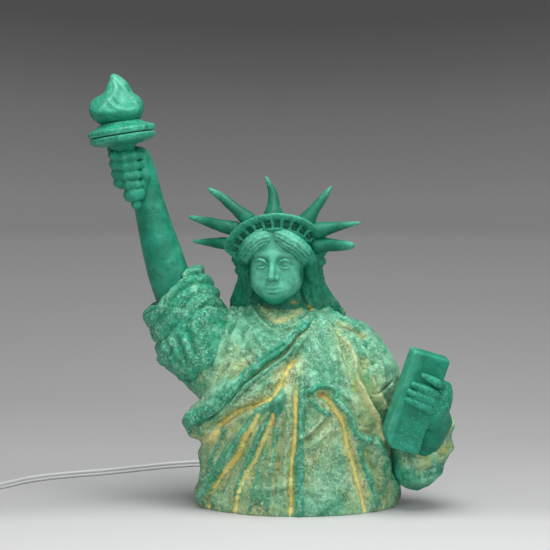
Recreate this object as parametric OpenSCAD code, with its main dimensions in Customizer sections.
// Table lamp in the form of a robed statue bust: a raised arm with a torch, a spiked
// crown and a tablet, cast as hollow translucent shells over a lamp on a wooden base.
// Millimetres. +Z is up, the statue faces -Y, and the origin is the middle of the base.

/* [Body] */
// Width of the bust at its foot
base_w = 204; // [196:1:212]
// Depth of the bust at its foot
base_d = 148; // [140:1:156]
// Wall of the cast shells
shell_t = 4; // [3:0.5:5]

/* [Head] */
// Turn of the head towards the raised arm, in degrees
head_yaw = 10; // [0:1:15]
// Length of a crown ray beyond the crown
ray_l = 42; // [36:1:46]
// Number of windows in the crown
windows = 17; // [11:2:21]

/* [Torch] */
// Lean of the torch away from the head, in degrees
torch_lean = 9; // [6:1:12]
// Radius of the torch gallery's rim
gallery_r = 33; // [30:0.5:35]

/* [Lamp] */
// Radius of the bulb's glass
bulb_r = 24; // [20:1:30]
// Radius of the bulb's screw cap
cap_r = 13; // [13:0.5:13.5]

/* [Cord] */
// Width of the flat twin cord
cord_w = 7; // [6:0.5:7]
// Mean radius of the stored coil
coil_r = 40; // [38:1:42]

/* [Hidden] */
$fn = 48;

clear = 0.25;                 // gap between cast pieces that are glued together
copper_green = [0.20, 0.60, 0.46];
pale_green = [0.42, 0.72, 0.58];
brass = [0.78, 0.62, 0.30];
white_plastic = [0.90, 0.90, 0.87];

// ---------- shapes that repeat ----------

// Keys of a loft are rows of [height, left, right, front, back].
function side_at(keys, z, column) = lookup(z, [for (k = keys) [k[0], k[column]]]);
function ring(keys, z, grow, sides) =
    let (x0 = side_at(keys, z, 1), x1 = side_at(keys, z, 2),
         y0 = side_at(keys, z, 3), y1 = side_at(keys, z, 4))
    [for (i = [0 : sides - 1])
        let (a = 360 * i / sides)
        [(x0 + x1) / 2 + ((x1 - x0) / 2 + grow) * cos(a),
         (y0 + y1) / 2 + ((y1 - y0) / 2 + grow) * sin(a), z]];

// Closes a stack of rings, each a list of the same number of points, into one solid.
module skin(rings) {
    n = len(rings[0]);
    last = len(rings) - 1;
    polyhedron(
        points = [for (r = rings) each r],
        faces = concat(
            [[for (i = [0 : n - 1]) i]],
            [for (j = [0 : last - 1], i = [0 : n - 1])
                [j * n + i, (j + 1) * n + i, (j + 1) * n + (i + 1) % n, j * n + (i + 1) % n]],
            [[for (i = [n - 1 : -1 : 0]) last * n + i]]),
        convexity = 6);
}

// A form through the keys, built span by span from convex pieces that share their ends.
module loft(keys, grow = 0, sides = 28) {
    for (j = [1 : len(keys) - 1])
        hull() skin([for (k = [j - 1, j]) ring(keys, keys[k][0], grow, sides)]);
}

// A tube of radius r swept along points, with flat ends.
function unit(v) = v / norm(v);
function heading(p, i) = unit(p[min(i + 1, len(p) - 1)] - p[max(i - 1, 0)]);
module sweep(p, r, sides = 8) {
    skin([for (i = [0 : len(p) - 1])
        let (t = heading(p, i), side = unit(cross(t, [0, 0, 1])), up = cross(side, t))
        [for (k = [0 : sides - 1])
            let (a = 360 * k / sides)
            p[i] + r * (cos(a) * side - sin(a) * up)]]);
}

// A round bar with ball ends, from point a to point b.
module bar(a, b, ra, rb, sides = 14) hull() {
    translate(a) sphere(ra, $fn = sides);
    translate(b) sphere(rb, $fn = sides);
}

// A smooth route through hand-placed points (Catmull-Rom), with n steps to a span.
function bend(a, b, c, d, t) =
    0.5 * (2 * b + (c - a) * t + (2 * a - 5 * b + 4 * c - d) * t * t
           + (3 * b - a - 3 * c + d) * t * t * t);
function route(p, n) =
    [for (i = [0 : len(p) - 2], k = [0 : n - (i < len(p) - 2 ? 1 : 0)])
        bend(p[max(i - 1, 0)], p[i], p[i + 1], p[min(i + 2, len(p) - 1)], k / n)];

// ---------- places that pieces share ----------

neck_at = [-19, 0, 0];
neck_r = 20;
torso_top = 204;
spigot_l = 14;                // depth of the neck's spigot in the torso

half_w = base_w / 2;
half_d = base_d / 2;
torso_keys = [
    [0, -half_w + 1, half_w - 1, -half_d, half_d - 2],
    [12, -half_w, half_w, -half_d - 1, half_d],
    [40, -half_w + 4, half_w - 1, -half_d - 2, half_d - 2],
    [80, -half_w + 2, half_w + 1, -half_d - 5, half_d - 6],
    [115, -half_w - 1, half_w + 4, -half_d - 7, half_d - 10],
    [140, -half_w + 2, half_w, -half_d - 5, half_d - 14],
    [160, -half_w + 10, half_w - 14, -half_d + 1, half_d - 18],
    [178, -82, 70, -62, 52],
    [190, -72, 54, -52, 48],
    [198, -62, 38, -44, 42],
    [torso_top, -50, 16, -32, 32]];

// The inside is the same form, a wall thinner and a wall lower, and open underneath.
chamber_keys = concat(
    [[-1, -half_w + 1, half_w - 1, -half_d, half_d - 2]],
    [for (k = torso_keys) if (k[0] > 0) [k[0] - shell_t, k[1], k[2], k[3], k[4]]]);

bush_at = [-20, 0, 24];       // axis of the cord's hole through the back wall
bush_r = 6;
boss_y = [58, half_d + 2];    // the two faces of the boss around that hole

// The torch stands on its own axis: z is along it, and 0 is the middle of the gallery.
torch_at = [-174, -18, 372];
module on_torch() translate(torch_at) rotate([-3, -torch_lean, 0]) children();
grip_r = 11;

// The crown's plane: x and y are the arch's plane seen from the front, z runs backwards.
crown_at = [-21, -36, 252];
crown_r = 47;                 // to the front edge of the rim
module on_crown() translate(crown_at) rotate([78, 0, -head_yaw]) mirror([0, 0, 1]) children();

// ---------- robe ----------

module torso_solid(grow = 0) loft(torso_keys, grow, 40);
module chamber(grow = 0) loft(chamber_keys, -shell_t + grow, 40);

module torso_shell() color(pale_green)
    difference() {
        union() {
            difference() {
                torso_solid();
                chamber();
            }
            translate([bush_at.x, boss_y[0], bush_at.z])
                rotate([-90, 0, 0])
                    cylinder(h = boss_y[1] - boss_y[0], r = 2 * bush_r);
        }
        translate([bush_at.x, boss_y[0] - 1, bush_at.z])
            rotate([-90, 0, 0])
                cylinder(h = boss_y[1] - boss_y[0] + 2, r = bush_r);
        translate(neck_at + [0, 0, torso_top - 2 * spigot_l])
            cylinder(h = 3 * spigot_l, r = neck_r + clear);
    }

// The rolled edge of the mantle, from the left shoulder down to the right hip.
roll_points = [[34, -34, 190], [10, -60, 170], [-12, -74, 150], [-40, -82, 128],
               [-66, -76, 110], [-92, -58, 94], [-108, -30, 84], [-111, 0, 82]];
module mantle_roll() color(copper_green)
    difference() {
        sweep(route(roll_points, 3), 10, 12);
        torso_solid(clear);
    }

// Sleeve pushed up the raised arm. Its loft runs from the cuff towards the shoulder.
sleeve_keys = [
    [0, -40, 40, -30, 30], [5, -43, 43, -35, 35], [16, -42, 40, -36, 36],
    [26, -42, 35, -36, 36], [40, -51, 36, -40, 38], [54, -58, 35, -44, 40],
    [68, -60, 20, -44, 40], [84, -54, 8, -36, 36], [94, -40, 0, -26, 28]];
module right_sleeve() color(copper_green)
    difference() {
        translate([-128, 0, 215]) rotate([0, 138, 0]) mirror([1, 0, 0]) loft(sleeve_keys, 0, 24);
        torso_solid(clear);
        arm_bars(clear);
    }

// Sleeve over the left elbow, with the upper arm hidden behind the tablet.
left_sleeve_keys = [
    [18, 104, 130, -44, -6], [26, 98, 146, -54, 6], [40, 96, 155, -60, 14],
    [60, 94, 159, -58, 20], [78, 92, 158, -48, 24], [90, 90, 150, -34, 26],
    [105, 88, 128, -22, 28], [125, 84, 112, -16, 26], [142, 80, 100, -12, 22]];
module left_sleeve() color(copper_green)
    difference() {
        loft(left_sleeve_keys, 0, 24);
        torso_solid(clear);
        forearm_bar(clear);
        tablet_block(clear);
    }

// ---------- arms and hands ----------

wrist = [-150, 2, 302];
elbow = [-124, 0, 218];
shoulder = [-96, 0, 172];
module arm_bars(grow = 0) {
    bar(wrist, elbow, 15 + grow, 21 + grow, 26);
    bar(elbow, shoulder, 21 + grow, 22 + grow, 26);
}
module right_arm() color(copper_green)
    difference() {
        arm_bars();
        torso_solid(clear);
        handle_space();
    }

// Four fingers around the torch handle, a thumb, and a palm that meets the wrist.
finger_r = 5;
module right_hand() color(copper_green)
    difference() {
        on_torch() {
            for (i = [0 : 3])
                translate([0, 0, -19 - 9 * i]) {
                    bar([13, 4, 0], [8, -14 + i, 0], finger_r, finger_r);
                    bar([8, -14 + i, 0], [-10, -13 + i, 2], finger_r, finger_r);
                }
            bar([-12, 4, -30], [-15, -2, -16], 6, 5);
            bar([14, 10, -25], [12, 14, -48], 12, 12);
            bar([0, 14, -26], [4, 16, -46], 12, 12);
        }
        on_torch() {
            translate([0, 0, -90]) cylinder(h = 90, r = grip_r + 1);
            translate([0, 0, -22]) cylinder(h = 12, r1 = grip_r + 0.5, r2 = 18);
        }
        arm_bars(clear);
    }

tablet_at = [114, -64, 112];
tablet_size = [36, 24, 96];
module on_tablet() translate(tablet_at) rotate([4, 18, 0]) rotate([0, 0, 14]) children();
module tablet_block(grow = 0) {
    on_tablet() {
        s = tablet_size + [2 * grow, 2 * grow, 2 * grow];
        translate([2, -s.y / 2, -s.z / 2]) cube([s.x / 2 - 2, s.y, s.z]);
        translate([-s.x / 2 + s.y / 2, -s.y / 2, -s.z / 2]) cube([s.x / 2 - s.y / 2 + 2, s.y, s.z]);
        translate([-s.x / 2 + s.y / 2, 0, -s.z / 2]) cylinder(h = s.z, r = s.y / 2);
    }
}
module tablet() color(copper_green)
    difference() {
        tablet_block();
        torso_solid(clear);
    }

left_elbow = [131, -34, 60];
left_wrist = [143, -46, 108];
module forearm_bar(grow = 0) bar(left_elbow, left_wrist, 18 + grow, 13 + grow, 26);
module left_forearm() color(copper_green)
    difference() {
        forearm_bar();
        tablet_block(clear);
        torso_solid(clear);
    }
module left_hand() color(copper_green)
    difference() {
        on_tablet() {
            for (i = [0 : 3])
                translate([0, 0, 24 - 10 * i]) {
                    bar([22, 4, 0], [18, -15, 0], 5, 5);
                    bar([18, -15, 0], [-8 + 2 * i, -15, 2], 5, 4.5);
                }
            bar([26, 6, 20], [28, 8, -10], 10, 11);
            bar([20, 16, 18], [10, 17, 30], 6, 5);
        }
        tablet_block(clear);
        forearm_bar(clear);
    }

// ---------- head and crown ----------

head_keys = [
    [torso_top - 12, -40, 40, -20, 44], [torso_top - 4, -50, 56, -22, 48],
    [torso_top + 2, -46, 48, -24, 50], [torso_top + 5, -43, 44, -46, 50],
    [torso_top + 14, -42, 42, -53, 50], [230, -41, 42, -55, 50], [245, -43, 44, -55, 50],
    [256, -48, 50, -54, 50], [270, -47, 48, -50, 48], [284, -40, 40, -42, 42],
    [294, -26, 26, -28, 30], [298, -12, 12, -14, 16]];
module head_solid(grow = 0)
    translate(neck_at) rotate([0, 0, -head_yaw]) loft(head_keys, grow, 32);
module crown_space(grow)
    on_crown() rotate([0, 0, -14]) rotate_extrude(angle = 208)
        translate([crown_r - 11 - grow, -grow]) square([16 + 2 * grow, 17 + 2 * grow]);

module head_shell() color(copper_green)
    difference() {
        union() {
            difference() {
                head_solid();
                torso_solid(clear);
                crown_space(clear);
                for (i = [0 : len(rays) - 1]) ray_space(i, clear);
            }
            translate(neck_at + [0, 0, torso_top - spigot_l])
                cylinder(h = spigot_l + 12, r = neck_r, $fn = 40);
        }
        translate(neck_at + [0, 0, torso_top - spigot_l - 1])
            cylinder(h = 50, r = neck_r - shell_t, $fn = 40);
        translate(neck_at + [0, 0, 248]) sphere(31, $fn = 32);
    }

// An arch from temple to temple with a row of recessed windows and a socket for each ray.
// Each ray is [place around the arch, direction in its plane, lean backwards, share of length].
rays = [[169, 178, 30, 1], [153, 165, 14, 1], [133, 142, 4, 1.05], [92, 99, 22, 0.95],
        [52, 51, -8, 1.03], [28, 12, -14, 1.0], [9, -2, -34, 0.95]];
ray_r = 6.2;
tenon_r = 3;
module on_ray(i) {
    r = rays[i];
    on_crown()
        translate([(crown_r + 1) * cos(r[0]), (crown_r + 1) * sin(r[0]), 9])
            rotate([0, 0, r[1]]) rotate([0, 90 - r[2], 0])
                children();
}
module ray_space(i, grow = 0) on_ray(i) {
    translate([0, 0, -4]) cylinder(h = ray_l * rays[i][3] + 4, r1 = ray_r + grow, r2 = 1.6 + grow);
}
module crown_band() color(copper_green)
    difference() {
        on_crown() {
            rotate([0, 0, -14]) rotate_extrude(angle = 208, $fn = 96)
                polygon([[crown_r - 10, 3], [crown_r - 9, 0], [crown_r, 0], [crown_r + 2, 2],
                         [crown_r + 4, 12], [crown_r + 2, 16], [crown_r - 8, 16]]);
        }
        on_crown() for (i = [0 : windows - 1])
            rotate([0, 0, -4 + 188 * i / (windows - 1)])
                translate([crown_r - 7.5, -1.9, -1]) cube([6, 3.8, 3]);
        for (i = [0 : len(rays) - 1]) ray_space(i, clear);
    }
module crown_ray(i) color(copper_green) ray_space(i);

// ---------- torch ----------

pommel_z = -60;
module torch_profile() rotate_extrude($fn = 72) polygon([
    [0, pommel_z - 18], [3, pommel_z - 17], [5.5, pommel_z - 13], [4, pommel_z - 9],
    [8, pommel_z - 8], [11.5, pommel_z - 2], [11, pommel_z + 4], [7, pommel_z + 8],
    [9, pommel_z + 10], [grip_r, -38], [grip_r, -20], [14, -15], [16.5, -11], [8, -11],
    [8, 12], [0, 12]]);
module handle_space() on_torch() translate([0, 0, pommel_z - 19]) cylinder(h = 60, r = 11.5 + clear);
module torch_handle() color(copper_green) on_torch() torch_profile();

// Two turned plates on the handle's spigot, with the groove of the gallery between them.
module gallery_lower_plate() color(copper_green) on_torch() rotate_extrude($fn = 96)
    polygon([[8 + clear, -11], [17, -11], [22, -8.5], [gallery_r - 2, -6.5], [gallery_r - 0.5, -5],
             [gallery_r - 1, -1.5], [gallery_r - 3, -0.5], [8 + clear, -0.5]]);
module gallery_upper_plate() color(copper_green) on_torch() rotate_extrude($fn = 96)
    polygon([[8 + clear, 0], [gallery_r - 3, 0], [gallery_r, 1], [gallery_r, 4.5],
             [gallery_r - 2, 5.5], [24, 8], [20.5, 11], [8 + clear, 11]]);
module flame() color(copper_green)
    on_torch() difference() {
        loft([[11.2, -20, 20, -19, 19], [15, -25, 24, -22, 22], [22, -27, 26, -24, 24],
              [30, -25, 26, -23, 22], [38, -17, 25, -18, 18], [46, -8, 20, -12, 13],
              [54, -4, 12, -8, 8], [61, -1, 4, -3, 3]], 0, 20);
        cylinder(h = 12 + clear, r = 8 + clear);
    }

// ---------- base ----------

felt_t = 1.5;
plate_t = 9;
plate_top = felt_t + plate_t;
screw_at = [for (sx = [-1, 1], sy = [-1, 1]) [sx * 60, sy * 37, 0]];
screw_turn = 38;              // direction of the wall beside each screw

module plate_outline(inset)
    polygon([for (i = [0 : 47])
        let (a = 7.5 * i)
        [(half_w - shell_t - inset) * cos(a), -0.5 + (half_d - shell_t - inset) * sin(a)]]);
module base_felt() color("darkgreen") linear_extrude(felt_t) plate_outline(3);
module base_plate() color("burlywood")
    difference() {
        translate([0, 0, felt_t]) linear_extrude(plate_t) plate_outline(2);
        cylinder(h = 3 * plate_top, r = 5);
        cylinder(h = felt_t + 4.5, r = 11);
        for (p = screw_at) translate(p) {
            cylinder(h = 3 * plate_top, r = 2);
            translate([0, 0, felt_t - 0.01]) cylinder(h = 2.2, r1 = 4, r2 = 2);
        }
    }
// Blocks glued inside the shell that take the screws of the base.
block_h = 14;
module fixing_blocks() color("burlywood") for (p = screw_at)
    difference() {
        translate(p + [0, 0, plate_top]) rotate([0, 0, sign(p.x * p.y) * screw_turn])
            translate([-9, -9, 0]) cube([18, 18, block_h]);
        translate(p) cylinder(h = plate_top + block_h - 3, r = 1.75);
    }
module base_screws() color("silver") for (p = screw_at) translate(p + [0, 0, felt_t])
    rotate_extrude($fn = 36) polygon([
        [0, 0.8], [2, 0.8], [2.4, 0], [3.9, 0], [1.75, 2.15], [1.75, 17], [0, 19.5]]);

// ---------- lamp ----------

nipple_r = 4.75;
holder_z = plate_top + 3;     // underside of the lampholder's cap
holder_r = 16.5;
shell_z = holder_z + 18;      // joint between the cap and the shell
seat_z = shell_z + 8;         // where the bulb's foot rests
cap_l = 24;

module holder_nipple() color("silver") difference() {
    translate([0, 0, felt_t + 0.5]) cylinder(h = holder_z - felt_t + 4, r = nipple_r);
    cylinder(h = 40, r = 3.2);
}
module hex_nut(h) difference() {
    cylinder(h = h, r = 9, $fn = 6);
    translate([0, 0, -1]) cylinder(h = h + 2, r = nipple_r);
}
module nipple_nuts() color("silver") {
    translate([0, 0, felt_t + 1]) hex_nut(3.5);
    translate([0, 0, plate_top]) hex_nut(3);
}
// The lead comes in through the cap's side.
entry_z = holder_z + 8;
lead_r = 3;
module holder_cap() color(brass) difference() {
    translate([0, 0, holder_z]) rotate_extrude($fn = 72) polygon([
        [nipple_r, 0], [9, 0], [13, 2], [15.6, 6], [holder_r, 11], [holder_r, 18],
        [holder_r - 1, 18], [holder_r - 1, 11], [14.6, 6.6], [12.2, 3], [nipple_r, 1.8]]);
    translate([0, 0, entry_z]) rotate([-90, 0, 0]) cylinder(h = 30, r = lead_r + 0.4);
}
module holder_insert() color("ivory") difference() {
    translate([0, 0, shell_z - 4]) cylinder(h = 10, r = holder_r - 1.2);
    for (sx = [-1, 1]) translate([8 * sx, 0, shell_z - 5]) cylinder(h = 12, r = 2);
}
module centre_contact() color(brass) translate([-3, -2, shell_z + 6]) {
    cube([6, 4, 0.6]);
    translate([2, 0, 0]) cube([2, 4, 2]);
}
// Outer sleeve with the screwed liner that the bulb turns into.
module holder_shell() color(brass) translate([0, 0, shell_z]) rotate_extrude($fn = 72) polygon([
    [holder_r - 1, 0], [holder_r, 0], [holder_r, 32], [holder_r - 1, 33], [cap_r + 0.3, 33],
    [cap_r + 0.3, 7], [holder_r - 1, 7]]);

// The bulb lifts straight out of the holder as one body.
glass_z = seat_z + cap_l;
module bulb_cap() color("silver") translate([0, 0, seat_z + 0.05]) rotate_extrude($fn = 72) polygon([
    [0, 0], [4.5, 0], [5.5, 1], [9, 2.5], [cap_r, 5], [cap_r, cap_l], [cap_r - 0.8, cap_l],
    [cap_r - 0.8, 6], [0, 3]]);
module bulb_glass() color([1, 0.95, 0.8]) translate([0, 0, glass_z]) rotate_extrude($fn = 72)
    difference() {
        bulb_section(0);
        bulb_section(1);
    }
bulb_h = 2.7 * bulb_r;
module bulb_section(wall) intersection() {
    union() {
        translate([0, bulb_h - bulb_r]) circle(bulb_r - wall, $fn = 96);
        polygon([[0, wall ? 1 : 0.05], [cap_r - 1 - wall, wall ? 1 : 0.05], [cap_r - wall, 6],
                 [0.93 * bulb_r - wall, bulb_h - 1.36 * bulb_r], [0, bulb_h - bulb_r]]);
    }
    square([2 * bulb_r, 3 * bulb_r]);
}
module bulb_stem() color("gainsboro") translate([0, 0, glass_z + 1]) {
    cylinder(h = 26, r1 = 5, r2 = 3);
    for (sx = [-1, 1]) bar([2 * sx, 0, 25], [10 * sx, 0, 38], 0.6, 0.6, 8);
    bar([-10, 0, 38], [10, 0, 38], 0.9, 0.9, 8);
}

// ---------- cord ----------

bush_l = 24;                  // the tapered sleeve outside the wall
bush_tip = boss_y[1] + 1.5 + bush_l;
module cord_bush() color(white_plastic)
    translate([bush_at.x, 0, bush_at.z]) rotate([-90, 0, 0]) rotate_extrude($fn = 48) polygon([
        [lead_r, boss_y[0] - 1.5], [8.5, boss_y[0] - 1.5], [8.5, boss_y[0]],
        [bush_r - 0.2, boss_y[0]], [bush_r - 0.2, boss_y[1]], [8.5, boss_y[1]],
        [8.5, boss_y[1] + 1.5], [bush_r, boss_y[1] + 1.5],
        [4.3, bush_tip], [lead_r, bush_tip]]);

// The lead inside: in from the bush, over the base plate, and into the lampholder's side.
inner_points = [[bush_at.x, bush_tip, bush_at.z], [bush_at.x, 70, bush_at.z],
                [bush_at.x, 56, bush_at.z], [bush_at.x, 50, bush_at.z], [-17, 42, 24],
                [-9, 32, 22.5], [-2, 24, entry_z], [0, 18, entry_z], [0, 9, entry_z]];
module inner_lead() color(white_plastic)
    difference() {
        sweep(route(inner_points, 2), lead_r - 0.05, 10);
        translate([0, 0, plate_top]) cylinder(h = 8, r = nipple_r + 5);
    }

// The cord lies on edge. It leaves the bush straight, comes down to the table behind the
// bust, curves round to its side, and goes on to a stored coil, the switch and the plug.
lay_z = cord_w / 2;
lead_points = [[bush_at.x, bush_tip + 0.2, 24], [bush_at.x, 106, 24], [bush_at.x, 112, 23.5],
               [-21, 126, 17], [-25, 140, 8.5], [-31, 154, 4.5], [-40, 170, lay_z], [-54, 188, lay_z], [-76, 203, lay_z],
               [-104, 207, lay_z], [-132, 199, lay_z], [-160, 184, lay_z], [-186, 168, lay_z],
               [-212, 153, lay_z], [-238, 141, lay_z], [-262, 128, lay_z], [-284, 110, lay_z],
               [-300, 88, lay_z], [-314, 68, lay_z], [-328, 52, lay_z], [-336, 44, lay_z]];
coil_at = [-372, 74, 0];
coil_h = 2 * cord_w + 1;
coil_half = 7;                // half the thickness of the coil's ring
module cord_lead() color(white_plastic)
    difference() {
        sweep(route(lead_points, 2), lay_z, 8);
        translate(coil_at - [0, 0, 1]) cylinder(h = coil_h + 2, r = coil_r + coil_half + 0.1);
    }
module cord_coil() color(white_plastic) difference() {
    translate(coil_at) rotate_extrude($fn = 96)
        translate([coil_r - coil_half, 0]) square([2 * coil_half, coil_h]);
    tie_space(clear);
}
tie_angle = 115;
module tie_space(grow = 0) translate(coil_at) rotate([0, 0, tie_angle])
    translate([coil_r - coil_half - 1.5 - grow, -5 - grow, -1])
        difference() {
            cube([2 * coil_half + 3 + 2 * grow, 10 + 2 * grow, coil_h + 2.5]);
            translate([1.5 + grow, -1, 1.5])
                cube([2 * coil_half, 12 + 2 * grow, coil_h - 1.5]);
        }
module coil_tie() color("dimgray") difference() {
    tie_space();
    translate(coil_at - [100, 100, 10]) cube([200, 200, 10]);
}

// Past the coil: down to the table in front of it, through the switch and into the plug.
tail_x = coil_at.x + coil_r;
switch_at = [tail_x, -4, 0];
switch_size = [17, 50, 15];
plug_at = [tail_x, -52, 0];
tail_end = switch_at.y + switch_size.y / 2 + 0.2;
tail_points = [[tail_x + 4, 50, 10.5], [tail_x + 3, 43, 10.2], [tail_x + 1, 35, 9],
               [tail_x, tail_end + 6, 8], [tail_x, tail_end + 3, 8], [tail_x, tail_end, 8]];
module cord_tail() color(white_plastic)
    difference() {
        sweep(route(tail_points, 3), lay_z - 0.2, 8);
        translate(coil_at - [0, 0, 1]) cylinder(h = coil_h + 2, r = coil_r + coil_half + 0.1);
        sweep(route(lead_points, 2), lay_z + 0.1, 8);
    }
module cord_tip() color(white_plastic)
    sweep([[tail_x, switch_at.y - switch_size.y / 2 - 0.2, 8], [tail_x, -40, 8],
           [tail_x, plug_at.y + 0.2, 8]], lay_z - 0.2, 8);

// ---------- switch on the cord ----------

wheel_r = 8.4;
axle_z = 10.2;
split_z = axle_z;
module switch_outline(r) {
    square([switch_size.x - 2 * r, switch_size.y], center = true);
    square([switch_size.x, switch_size.y - 2 * r], center = true);
    for (sx = [-1, 1], sy = [-1, 1])
        translate([sx * (switch_size.x / 2 - r), sy * (switch_size.y / 2 - r)]) circle(r);
}
module switch_body() difference() {
    translate(switch_at) linear_extrude(switch_size.z) switch_outline(4);
    translate(switch_at + [-2.6, -wheel_r - 1, 1.2]) cube([5.2, 2 * wheel_r + 2, 30]);
    translate(switch_at + [-4.6, 0, axle_z]) rotate([0, 90, 0]) cylinder(h = 9.2, r = 1.6);
    for (sx = [-1, 1]) translate(switch_at + [sx * 5 - 0.6, -8, 3]) cube([1.2, 16, 3]);
    for (sy = [-1, 1]) translate(switch_at + [0, 17 * sy, 0]) {
        translate([0, 0, -1]) cylinder(h = 30, r = 1.3);
        translate([0, 0, switch_size.z - 1.6]) cylinder(h = 3, r = 2.8);
    }
}
module switch_base() color(white_plastic) intersection() {
    switch_body();
    translate(switch_at - [20, 40, 5]) cube([40, 80, 5 + split_z - 0.05]);
}
module switch_cover() color(white_plastic) intersection() {
    switch_body();
    translate(switch_at + [-20, -40, split_z + 0.05]) cube([40, 80, 30]);
}
// Thumbwheel on two stub axles, with grip notches around its rim.
module switch_wheel() color("white") translate(switch_at + [0, 0, axle_z]) rotate([0, 90, 0])
    difference() {
        union() {
            cylinder(h = 4.4, r = wheel_r, center = true);
            cylinder(h = 9, r = 1.5, center = true);
        }
        for (i = [0 : 15]) rotate([0, 0, 22.5 * i])
            translate([wheel_r + 0.3, 0, 0]) cylinder(h = 6, r = 0.9, center = true);
    }
module switch_contacts() color(brass) for (sx = [-1, 1])
    translate(switch_at + [sx * 5 - 0.5, -7.5, 3.1]) cube([1, 15, 2.6]);
module switch_screws() color("silver") for (sy = [-1, 1])
    translate(switch_at + [0, 17 * sy, 1]) {
        cylinder(h = switch_size.z - 2.6, r = 1.3);
        translate([0, 0, switch_size.z - 2.6]) cylinder(h = 1.2, r = 2.7);
    }

// ---------- plug ----------

blade = [1.5, 17.5, 6.4];
blade_pitch = 12.7;
plug_l = 26;
module plug_body() color(white_plastic) difference() {
    translate(plug_at) hull() {
        translate([-11, -plug_l, 0]) cube([22, 8, 16]);
        translate([-6.5, -6, 2]) cube([13, 6, 12]);
    }
    for (sx = [-1, 1]) blade_at(sx, 0.02);
}
module blade_at(sx, grow = 0)
    translate(plug_at + [sx * blade_pitch / 2 - blade.x / 2 - grow, -plug_l - blade.y + 8,
                         8 - blade.z / 2 - grow])
        cube(blade + [2 * grow, grow, 2 * grow]);
module plug_blades() color(brass) for (sx = [-1, 1]) blade_at(sx);

// ---------- all ----------

torso_shell();
mantle_roll();
right_sleeve();
left_sleeve();
right_arm();
right_hand();
left_forearm();
left_hand();
tablet();
head_shell();
crown_band();
for (i = [0 : len(rays) - 1])
    crown_ray(i);
torch_handle();
gallery_lower_plate();
gallery_upper_plate();
flame();
base_plate();
base_felt();
fixing_blocks();
base_screws();
holder_nipple();
nipple_nuts();
holder_cap();
holder_insert();
holder_shell();
centre_contact();
bulb_cap();
bulb_glass();
bulb_stem();
cord_bush();
inner_lead();
cord_lead();
cord_coil();
coil_tie();
cord_tail();
cord_tip();
switch_base();
switch_cover();
switch_wheel();
switch_contacts();
switch_screws();
plug_body();
plug_blades();
